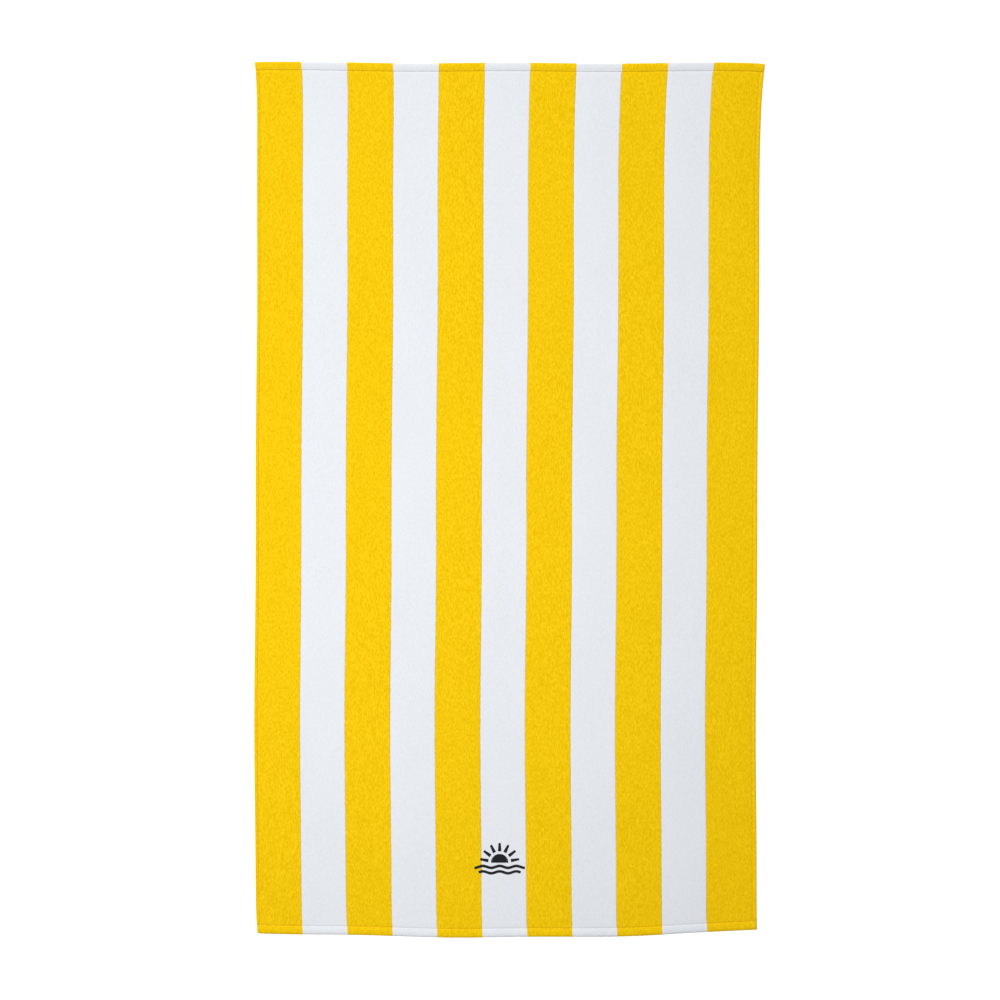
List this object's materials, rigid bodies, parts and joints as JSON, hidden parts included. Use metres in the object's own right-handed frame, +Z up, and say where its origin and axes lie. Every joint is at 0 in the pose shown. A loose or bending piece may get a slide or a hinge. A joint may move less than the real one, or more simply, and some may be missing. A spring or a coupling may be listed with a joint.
{
  "type": "beach towel",
  "caption": "Flat rectangular terry beach towel in yellow and white cabana stripes, with turned hems and a small dark sun-and-waves embroidery near one end.",
  "frame": {"origin": "middle of the footprint, on the surface that the towel lies on", "axes": "+X across the stripes, +Y along the stripes towards the end away from the embroidery, +Z up out of the face pile"},
  "size_m": [1.0392, 1.7808, 0.006],
  "materials": {
    "yellow_face_pile": "matte",
    "white_face_pile": "matte",
    "yellow_back_pile": "matte",
    "white_back_pile": "matte",
    "ground_cloth": "matte",
    "striped_hem": "matte",
    "yellow_hem": "matte",
    "seam_thread": "satin",
    "embroidery_thread": "satin",
    "embroidery_bobbin": "satin",
    "stabiliser": "matte",
    "label_tape": "satin"
  },
  "bodies": {
    "root": {"ground_cloth": "ground_cloth", "face_pile_yellow_1": "yellow_face_pile", "face_pile_white_1": "white_face_pile", "face_pile_yellow_2": "yellow_face_pile", "face_pile_white_2": "white_face_pile", "face_pile_yellow_3": "yellow_face_pile", "face_pile_white_3": "white_face_pile", "face_pile_yellow_4": "yellow_face_pile", "face_pile_white_4": "white_face_pile", "face_pile_yellow_5": "yellow_face_pile", "face_pile_white_5": "white_face_pile", "face_pile_yellow_6": "yellow_face_pile", "back_pile_yellow_1": "yellow_back_pile", "back_pile_white_1": "white_back_pile", "back_pile_yellow_2": "yellow_back_pile", "back_pile_white_2": "white_back_pile", "back_pile_yellow_3": "yellow_back_pile", "back_pile_white_3": "white_back_pile", "back_pile_yellow_4": "yellow_back_pile", "back_pile_white_4": "white_back_pile", "back_pile_yellow_5": "yellow_back_pile", "back_pile_white_5": "white_back_pile", "back_pile_yellow_6": "yellow_back_pile", "hem_bottom": "striped_hem", "hem_top": "striped_hem", "hem_left": "yellow_hem", "hem_right": "yellow_hem", "needle_thread_bottom": "seam_thread", "needle_thread_top": "seam_thread", "needle_thread_left": "seam_thread", "needle_thread_right": "seam_thread", "bobbin_thread_bottom": "seam_thread", "bobbin_thread_top": "seam_thread", "bobbin_thread_left": "seam_thread", "bobbin_thread_right": "seam_thread", "embroidery_sun": "embroidery_thread", "embroidery_rays": "embroidery_thread", "embroidery_waves": "embroidery_thread", "embroidery_bobbin": "embroidery_bobbin", "embroidery_backing": "stabiliser", "care_label": "label_tape"}
  },
  "joints": []
}
